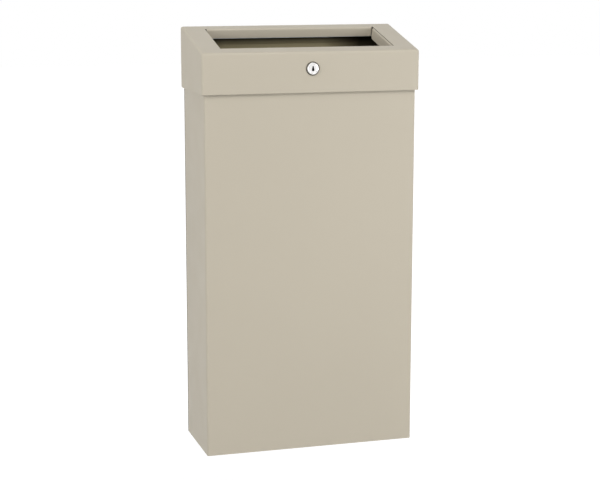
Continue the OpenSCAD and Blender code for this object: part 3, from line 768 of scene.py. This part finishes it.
wide, deep = (-pan_x + NOTCH, pan_x - NOTCH), (pan_front + NOTCH, pan_rear - NOTCH)
bottom_x = stops(-pan_x + BEND_R, *wide, pan_x - BEND_R)
bottom_y = stops(pan_front + BEND_R, *deep, pan_rear - BEND_R)
pan = [
    grid_of(bottom_x[:, None], bottom_y, 0.0)[:, ::-1],
    pan_edge(pan_front, -1, True, wide)[::-1],
    pan_edge(pan_rear, 1, True, wide),
    pan_edge(pan_x, 1, False, deep)[::-1],
    pan_edge(-pan_x, -1, False, deep),
]
piece("floor_tray", pan, paint, "bin", "paint", "floor_pan", thickness=SHEET, inside=inside_painted_shade)

# %% [markdown]
# ## The cap's skin
#
# The cap is the hardest piece of the bin. Its front, sloping top and two sides meet in rounded
# edges, and at the two front corners three of them meet in one rounded point, which is welded and
# ground on the real cap.
#
# The rounding is worked out in one formula. A core line runs a bend's radius inside the surface,
# along the top and down the front. At each point of it the surface stands one radius away, in a
# direction that swings from square-up to sideways. Where the core line turns the front corner the
# direction turns too, while the point stays put, and that sweeps out the ball of the corner.
#
# Behind the pin the cap is trimmed to a circle round the pin, so that it clears the wall as it
# opens.

# %% The core line
INLET_FRONT, INLET_BACK, INLET_SIDE, INLET_R = 26.5, 16.8, 35.5, 2.7
CHEEK_INSET, LIP_GAP, PLATE_R = 1.8, 1.0, 4.0
QUARTER = np.linspace(0, pi / 2, 9)
PIN_UP = (PIN_Y - CAP_FRONT_Y) / cos(SLOPE) - PIN_DROP * tan(SLOPE)
INLET_REAR = PIN_UP - INLET_BACK
INLET_HALF = HALF_CAP - INLET_SIDE
CHEEK_X = INLET_HALF - CHEEK_INSET
LIP_HALF = CHEEK_X - LIP_GAP
TAIL_UP = PIN_UP + sqrt(SWING_R**2 - PIN_DROP**2)
CORE_X = HALF_CAP - CAP_R
CORE_UP = CAP_R * (1 - sin(SLOPE)) / cos(SLOPE)

top_up = stops(TAIL_UP, INLET_REAR + INLET_R, INLET_FRONT - INLET_R, CORE_UP, longest=12.0)
top_core = on_slope(0.0, top_up, -CAP_R)[:, 1:]
rear_y = -WALL_GAP + (top_core[0, 0] + WALL_GAP) * (1 - np.cos(QUARTER))[:-1]
rear_core = np.stack([rear_y, cap_top(rear_y) - CAP_R / cos(SLOPE)], -1)
corner = top_core[-1]
front_z = stops(corner[1], *(LOCK_Z + around)[::-1], CAP_RIM, longest=12.0)[1:]

round_corner = np.linspace(SLOPE, pi / 2, len(QUARTER))[1:]
lean = np.concatenate(
    [np.full(len(rear_y) + len(top_up), SLOPE), round_corner, np.full(len(front_z), pi / 2)]
)
front_core = np.stack([np.full(len(front_z), corner[0]), front_z], -1)
core = np.concatenate(
    [rear_core, top_core, np.repeat(corner[None], len(round_corner), 0), front_core]
)
print("core line", len(core), "points")


def skin(x, sideways, first=0):
    """The cap's outer face. x is where the core lies across the bin, and sideways is how far the
    outward direction has swung from the slope's square towards the side, from -90 to 90 degrees:
    point = core + radius * (cos(swing) * square + sin(swing) * side)."""
    line, turn = core[first:, None], lean[first:, None]
    out = CAP_R * np.cos(sideways)
    y = line[..., 0] - out * np.sin(turn)
    z = line[..., 1] + out * np.cos(turn)
    behind = np.sqrt(np.maximum(SWING_R**2 - (y - PIN_Y) ** 2, 0))
    z = np.where(y > PIN_Y, np.minimum(z, PIN_Z + behind), z)
    return grid_of(x + CAP_R * np.sin(sideways), y, z)


# %% Middle of the top and front, with the inlet's cut and the lock's hole
across = stops(-CORE_X, -INLET_HALF, -LIP_HALF, *around, LIP_HALF, INLET_HALF, CORE_X)
middle = skin(across, np.zeros(len(across)), len(rear_y))
middle_up = np.concatenate([top_up, np.full(len(middle) - len(top_up), -1.0)])
under_rear = middle_up[:-1] <= INLET_REAR + INLET_R + SLACK
above_front = middle_up[1:] >= INLET_FRONT - INLET_R - SLACK
in_cut_x = (across[:-1] > -INLET_HALF - SLACK) & (across[1:] < INLET_HALF + SLACK)
keep_middle = ~((under_rear & above_front)[:, None] & in_cut_x)
front_rows = len(middle) - len(front_z) - 1
lock_rows = near_hole(middle[front_rows:, 0, 2], (LOCK_Z,))
keep_middle[front_rows:] = ~(lock_rows[:, None] & near_hole(across, (0.0,)))
lock_hole = hole_patch(BARREL_R + BARREL_GAP, FLATS + 2 * BARREL_GAP)
lock_patch = lock_points(lock_hole[..., 0], 0.0, lock_hole[..., 1])

# %% Rounded side edges and the side plates
right_edge = skin(np.full(len(QUARTER), CORE_X), QUARTER)
plate_y = core[: len(rear_y) + len(top_up), 0]
plate_top = right_edge[: len(plate_y), -1, 2]
into_corner = np.clip(plate_y - (-WALL_GAP - PLATE_R), 0, PLATE_R)
plate_low = CAP_RIM + PLATE_R - np.sqrt(PLATE_R**2 - into_corner**2)
down = np.concatenate([[0.0], (corner[1] - front_z) / (corner[1] - CAP_RIM)])
plate_z = plate_top[:, None] + (plate_low - plate_top)[:, None] * down
right_plate = grid_of(HALF_CAP, plate_y[:, None], plate_z)

# %% [markdown]
# The inlet's front and rear edges are bent down from the same sheet. Short reliefs at the ends of
# each bend let the metal fold without tearing, and they show as small dark notches.

# %% Turned-down edges of the inlet
INLET_EDGE_H = 15.0
lip = folded([(-INLET_R, 0), (0, 0), (0, -INLET_EDGE_H)], [INLET_R])
lip_x = across[abs(across) < LIP_HALF + SLACK]
front_lip = on_slope(lip_x, INLET_FRONT + lip[:, :1], lip[:, 1:])[:, ::-1]
rear_lip = on_slope(lip_x, INLET_REAR - lip[:, :1], lip[:, 1:])
piece(
    "cap_sheet",
    [
        (middle, keep_middle), right_edge, mirrored(right_edge), right_plate, mirrored(right_plate),
        front_lip, rear_lip, lock_patch,
    ],
    paint, "lid", "paint", "lid_shell", thickness=CAP_SHEET, inside=inside_painted_shade, cut=cut_edge_painted_shade,
)

# %% [markdown]
# ## The cheeks of the inlet
#
# The inlet's two ends are separate strips, because a sheet can't be bent down on all four sides of
# one cut. Each strip is folded once and welded under the top, a little inside the cut. A thin dark
# line shows between its bright bend and the cut's edge, since the cap's cut edges are painted dark
# as painted shade. Its rear lower corner is rounded: there the strip's depth follows a quarter
# circle.

# %% Two cheeks
CHEEK_H, CHEEK_SHEET, CHEEK_FLANGE, CHEEK_R, CHEEK_GAP = 19.5, 1.2, 16.0, 5.0, 0.6
cheek_start, cheek_end = INLET_FRONT - INLET_R / 2, INLET_REAR - CHEEK_GAP
round_up = cheek_end - CHEEK_R * (1 - np.sin(QUARTER))
cheek_up = np.concatenate([stops(cheek_start, cheek_end - CHEEK_R, longest=12.0)[:-1], round_up])
past_round = np.clip(cheek_up - (cheek_end - CHEEK_R), 0, CHEEK_R)
cheek_depth = CHEEK_H - CHEEK_R + np.sqrt(CHEEK_R**2 - past_round**2)

fold = folded(
    [(CHEEK_X + CHEEK_FLANGE, -CAP_SHEET), (CHEEK_X, -CAP_SHEET), (CHEEK_X, -CHEEK_H)],
    [CHEEK_INSET + CHEEK_SHEET],
)
below_fold = np.linspace(fold[-2, 1], -cheek_depth, 7)[1:]
cheek_x = np.concatenate([fold[:-1, 0], np.full(len(below_fold), CHEEK_X)])
cheek_out = np.concatenate([np.repeat(fold[:-1, 1:], len(cheek_up), 1), below_fold])
right_cheek = on_slope(cheek_x[:, None], cheek_up, cheek_out)[:, ::-1]
for name, grid, packed in (
    ("inlet_cheek_right", right_cheek, "cheek_right"),
    ("inlet_cheek_left", mirrored(right_cheek), "cheek_left"),
):
    piece(name, [grid], paint, "lid", "paint", packed, thickness=CHEEK_SHEET, inside=inside_painted_shade)

# %% [markdown]
# ## The lock
#
# A cam lock is turned on a lathe, so its pieces are profiles carried round its axis. The head has a
# bright flat face, a fine groove and a sloping rim. The rim is painted dark, a painted reflection
# and shade, and it shows as the thin dark ring round the lock. Behind the head is a thread with two
# flats. The thread is one formula: the radius rises and falls once for each millimetre and a half
# along the axis, and the wave slides along by one such step in a full turn, which makes a true
# helix.

# %% Turned pieces
HEAD_R, HEAD_T, RIM_IN, RIM_T, HEAD_AIR = 11.0, 2.2, 9.2, 1.2, 0.02
PLUG_R, PLUG_FACE_R, PLUG_GAP, PLUG_SEAT = 6.2, 7.5, 0.06, 0.24
THREAD_PITCH, THREAD_DEEP, THREAD_START, CHAMFER = 1.5, 0.55, 2.0, 0.8
BARREL_PAST, THREAD_ROWS = 3.0, 121
BARREL_L = OVERHANG + RIM_W + BARREL_PAST
turns = np.linspace(0, 2 * pi, 97)


def round_lock(radius, deep, flats=np.inf):
    """A profile of radii and depths carried round the lock's axis: x is radius times the cosine of
    the turn, z is radius times its sine, and two flats are the x values that are held back."""
    x = np.clip(radius * np.cos(turns), -flats / 2, flats / 2)
    return lock_points(x, deep, radius * np.sin(turns))


def column(*values):
    """Values stood up as a column, so that a row of angles can be carried past them."""
    return np.array(values, float)[:, None]


# %% Lock head with its threaded barrel
bore, seat = PLUG_R + PLUG_GAP, PLUG_FACE_R + PLUG_GAP
head = folded(
    [
        (bore, BARREL_L), (bore, -PLUG_SEAT), (seat, -PLUG_SEAT), (seat, -HEAD_T),
        (RIM_IN - 0.8, -HEAD_T), (RIM_IN - 0.55, -HEAD_T + 0.3), (RIM_IN - 0.3, -HEAD_T),
        (RIM_IN, -HEAD_T), (HEAD_R, RIM_T - HEAD_T), (HEAD_R, -HEAD_AIR), (BARREL_R, -HEAD_AIR),
    ],
    [0.1, 0.1, 0.2, 0.1, 0.1, 0.1, 0.1, 0.4, 0.15], steps=6,
)
along = np.linspace(0, BARREL_L, THREAD_ROWS)[:, None]
end_fade = np.clip((BARREL_L - along) / CHAMFER, 0, 1)
start_fade = np.clip(along / THREAD_START, 0, 1)
wave = 0.5 + 0.5 * np.cos(2 * pi * along / THREAD_PITCH - turns)
thread = BARREL_R - THREAD_DEEP * (wave * start_fade * end_fade + 1 - end_fade)
thread_grid = round_lock(thread, along, FLATS)
barrel_end = round_lock(column(BARREL_R - THREAD_DEEP, bore), BARREL_L, FLATS)
head_grid = round_lock(head[:, :1], head[:, 1:])
head_grid[-1] = thread_grid[0]
head_patches = [head_grid, thread_grid, barrel_end]
lock_head = piece("lock_head", head_patches, chrome, "lid", "chrome", "lock_housing")
# The sloping rim takes the painted dark reflection and shade.
recoat(lock_head, rim_painted_dark, lambda x, y, z: (np.hypot(x, z - LOCK_Z) > RIM_IN) & (y < CAP_FRONT_Y))

# %% [markdown]
# The plug's face carries the keyway. The circle and the keyway's outline have the same number of
# points, and the face is everything between the two: rings that lie at a share of the way from one
# to the other. From the outline the same points go straight back, which makes the slot, painted
# near-black as painted shade.

# %% Plug and keyway
KEY_H, KEY_W, KEY_R, KEY_DEEP = 8.4, 2.4, 2.1, 12.0
DISH, FACE_STEP, SLOT_IN, DISC_END = 0.05, 0.18, 0.15, -0.3
TAIL, TAIL_R, TAIL_LONG, SQUARE_HALF, BORE_R = BARREL_L + 0.1, 4.4, 2.0, 3.5, 2.0
key_low = -KEY_H / 2 + KEY_R
key_line = np.array(
    [(KEY_W / 4, KEY_H / 2), (KEY_W / 2, KEY_H / 4), (KEY_R, key_low)]
    + [(KEY_R * cos(a), key_low + KEY_R * sin(a)) for a in np.linspace(0, -pi / 2, 7)[1:]]
)
key_line = np.concatenate([[(0, KEY_H / 2)], key_line])
key_line = np.concatenate([key_line, (key_line * (-1, 1))[-2::-1]])
reach = run(key_line)
share = (pi / 2 - turns) % (2 * pi) / (2 * pi)
share[np.argmin(abs(turns - pi / 2))] = 0.0
key_x = np.interp(share * reach[-1], reach, key_line[:, 0])
key_z = np.interp(share * reach[-1], reach, key_line[:, 1])

ring_share = np.array([0, 0.06, 0.2, 0.4, 0.6, 0.8, 0.95, 1.0])[:, None]
# The face falls away a little towards its rim, and steps back there.
face_deep = -HEAD_T + 0.01 + DISH * ring_share**3 + FACE_STEP * (ring_share == 1)
plug_deep = np.concatenate([column(KEY_DEEP, KEY_DEEP, -HEAD_T + SLOT_IN), face_deep])
plug_x, plug_z = (
    np.concatenate([[0 * key, key, key], key + (PLUG_FACE_R * circle - key) * ring_share])
    for key, circle in ((key_x, np.cos(turns)), (key_z, np.sin(turns)))
)
plug_side = round_lock(
    column(PLUG_FACE_R, PLUG_FACE_R, PLUG_R, PLUG_R, TAIL_R),
    column(face_deep[-1, 0], DISC_END, DISC_END, TAIL, TAIL),
)
# Behind, the plug ends in a square for the cam, with a bore for its screw.
whole, bore_end = np.ones(len(turns)), KEY_DEEP + 1.0
square_r = np.minimum(SQUARE_HALF / np.maximum(abs(np.cos(turns)), abs(np.sin(turns))), TAIL_R)
tail_r = [TAIL_R * whole, square_r, square_r, BORE_R * whole, BORE_R * whole, 0 * whole]
tail_deep = column(TAIL, TAIL, TAIL + TAIL_LONG, TAIL + TAIL_LONG, bore_end, bore_end)
plug_tail = round_lock(np.array(tail_r), tail_deep)
lock_plug = piece(
    "lock_plug_face", [lock_points(plug_x, plug_deep, plug_z), plug_side, plug_tail],
    chrome, "lock_rotor", "chrome", "lock_plug",
)


def in_slot(x, y, z):
    """True within the keyway's reach of the axis, from behind the face to the slot's end."""
    between = (y > CAP_FRONT_Y - HEAD_T + 0.05) & (y < CAP_FRONT_Y + KEY_DEEP + 0.5)
    return between & (np.hypot(x, z - LOCK_Z) < KEY_H / 2 + 0.1)


# The slot's faces take the painted shade.
recoat(lock_plug, keyway_painted_shade, in_slot)

# %% [markdown]
# ## The bag's wire frame
#
# Drawn wire is bent into a rounded rectangle and its ends are butt welded at the back. A small
# circle carried along the rectangle makes the wire. The weld is a low bead: the circle's radius
# swells for a few millimetres, like a bell curve along the wire.

# %% Wire carried along a rounded rectangle
FRAME_HALF, FRAME_FRONT, FRAME_REAR, FRAME_Z, FRAME_R = 152.0, -116.0, -16.0, 600.0, 15.0
WIRE_R, BEAD_HIGH, BEAD_LONG = 2.5, 0.14, 2.6
half_ring = filled(
    folded(
        [(0, FRAME_FRONT), (FRAME_HALF, FRAME_FRONT), (FRAME_HALF, FRAME_REAR), (0, FRAME_REAR)],
        [FRAME_R, FRAME_R], steps=12,
    ),
    2.5,
)
ring = np.concatenate([half_ring, (half_ring * (-1, 1))[-2::-1]])
tangent = np.gradient(np.concatenate([ring[-2:-1], ring, ring[1:2]]), axis=0)[1:-1]
tangent /= np.linalg.norm(tangent, axis=1, keepdims=True)
at_weld = np.where(ring[:, 1] > FRAME_REAR - 0.1, np.exp(-((ring[:, 0] / BEAD_LONG) ** 2)), 0)
wire_r = (WIRE_R * (1 + BEAD_HIGH * at_weld))[:, None]
turn = np.linspace(0, 2 * pi, 17)
wire = grid_of(
    ring[:, :1] + wire_r * np.cos(turn) * tangent[:, 1:],
    ring[:, 1:] - wire_r * np.cos(turn) * tangent[:, :1],
    FRAME_Z + wire_r * np.sin(turn),
)
piece("bag_wire", [wire], zinc, "bag_ring", "zinc", "bag_frame")

# %% [markdown]
# ## The hooks
#
# Four strips, each folded twice, hold the wire. One leg is welded to the side wall and the other is
# the finger that keeps the wire from sliding off. The ends of both legs are rounded: near an end
# the strip's half width falls off like a quarter circle.

# %% Folded hooks
HOOK_T, HOOK_W, HOOK_BEND, WIRE_GAP, HOOK_GAP = 2.0, 14.0, 2.8, 0.35, 0.05
FINGER_H, FOOT_H, END_R, FROM_BEND = 6.0, 20.0, 5.0, 4.0
hook_out, hook_in = HALF_W - SHEET - HOOK_GAP, FRAME_HALF - WIRE_R - WIRE_GAP - HOOK_T
hook_low = FRAME_Z - WIRE_R - WIRE_GAP - HOOK_T
foot, finger = [(hook_out, hook_low + FOOT_H)], [(hook_in, FRAME_Z + FINGER_H)]
hook_line = filled(
    folded(foot + [(hook_out, hook_low), (hook_in, hook_low)] + finger, [HOOK_BEND, HOOK_BEND]), 1.0
)
done = run(hook_line)
to_end = np.minimum(np.minimum(done, done[-1] - done), END_R)
hook_half = HOOK_W / 2 - END_R + np.sqrt(END_R**2 - (END_R - to_end) ** 2)
hook_middle = (FRAME_FRONT + FRAME_REAR) / 2
hook_apart = (FRAME_REAR - FRAME_FRONT) / 2 - FRAME_R - FROM_BEND
across_hook = hook_half[:, None] * np.linspace(-1, 1, 9)
hooks = [
    grid_of(hook_line[:, :1], hook_middle + side * hook_apart + across_hook, hook_line[:, 1:])
    for side in (-1, 1)
]
left_hooks = [mirrored(hook) for hook in hooks]
piece("hook_strips_right", hooks, paint, "bin", "paint", "bag_hooks_right", thickness=HOOK_T)
piece("hook_strips_left", left_hooks, paint, "bin", "paint", "bag_hooks_left", thickness=HOOK_T)

# %% [markdown]
# ## The long hinge
#
# The two leaves of a piano hinge are strips whose edges are notched and then rolled round the pin,
# one leaf's tongues between the other's. Each leaf is a line that runs along the strip and curls
# round the pin for most of a turn, so the roll's open seam shows. The line is carried across the
# bin, and the faces in the notches are left out.

# %% Rolled leaves
HINGE_HALF, KNUCKLES, LEAF, KNUCKLE_GAP = 157.5, 21, 1.2, 0.4
# How far from the pin each leaf's flat part starts, and where its notches do.
FIXED_FAR, FIXED_NOTCH, LID_FAR, LID_NOTCH = -16.0, -2.7, -12.0, -2.95
pitch = 2 * HINGE_HALF / KNUCKLES
ends = np.array([KNUCKLE_GAP / 2, pitch - KNUCKLE_GAP / 2])
hinge_x = (np.arange(KNUCKLES)[:, None] * pitch - HINGE_HALF + ends).reshape(-1)
cell = np.arange(len(hinge_x) - 1)


def curl(start, end):
    """Points at one knuckle radius round the pin, from one angle to another."""
    angle = np.radians(np.linspace(start, end, 28))
    return KNUCKLE_R * np.stack([np.cos(angle), np.sin(angle)], -1)


def leaf_grid(line, tilt, first):
    """A leaf's line, tilted round the pin and carried across. Cells are by turns a knuckle and a
    gap. Past the line's first stretch only every second knuckle keeps its faces."""
    y = PIN_Y + line[:, :1] * cos(tilt) - line[:, 1:] * sin(tilt)
    z = PIN_Z + line[:, :1] * sin(tilt) + line[:, 1:] * cos(tilt)
    keep = np.arange(len(line) - 1)[:, None] < 1
    return grid_of(hinge_x, y, z), keep | (cell % 4 == 2 * first)


lid_step = KNUCKLE_R + LEAF_STEP
fixed_line = np.concatenate([[(KNUCKLE_R, FIXED_FAR), (KNUCKLE_R, FIXED_NOTCH)], curl(0, 318)])
lid_line = np.concatenate([[(LID_FAR, lid_step), (LID_NOTCH, lid_step)], curl(84, -222)])
fixed_grid, (grid, keep) = leaf_grid(fixed_line, 0.0, 0), leaf_grid(lid_line, SLOPE, 1)
lid_grid = (grid[:, ::-1], keep[:, ::-1])
piece("hinge_leaf_fixed", [fixed_grid], zinc, "bin", "zinc", "hinge_fixed_leaf", thickness=LEAF)
piece("hinge_leaf_lid", [lid_grid], zinc, "lid", "zinc", "hinge_lid_leaf", thickness=LEAF)

# %% Pin with domed ends
PIN_SHORT, DOME_LONG = 0.2, 0.6
dome = np.linspace(0, pi / 2, 5)
pin_r = PIN_R * np.sin(np.concatenate([dome, dome[::-1]]))[:, None]
cap_in = DOME_LONG * (1 - np.cos(dome))
pin_x = np.concatenate([-HINGE_HALF + PIN_SHORT + cap_in, (HINGE_HALF - PIN_SHORT - cap_in)[::-1]])
turn = np.linspace(0, 2 * pi, 25)
pin_grid = grid_of(pin_x[:, None], PIN_Y + pin_r * np.cos(turn), PIN_Z + pin_r * np.sin(turn))
piece("hinge_pin_drawn", [pin_grid[:, ::-1]], zinc, "bin", "zinc", "hinge_pin")

# %% [markdown]
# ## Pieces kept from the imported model
#
# The small plates, washers, fasteners and buffers are exact already. They keep their own shapes and
# only receive their finishes.

# %% Finishes on the kept pieces
FINISHES = {
    "strike_plate": zinc, "strike_rivets": zinc, "lock_nut": zinc, "lock_washer": zinc,
    "lock_cam": zinc, "cam_washer": zinc, "cam_screw": zinc, "cap_buffers": rubber,
}
for name, material in FINISHES.items():
    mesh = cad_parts[name].data
    mesh.materials.clear()
    mesh.materials.append(material)
print(len(FINISHES), "kept pieces finished")
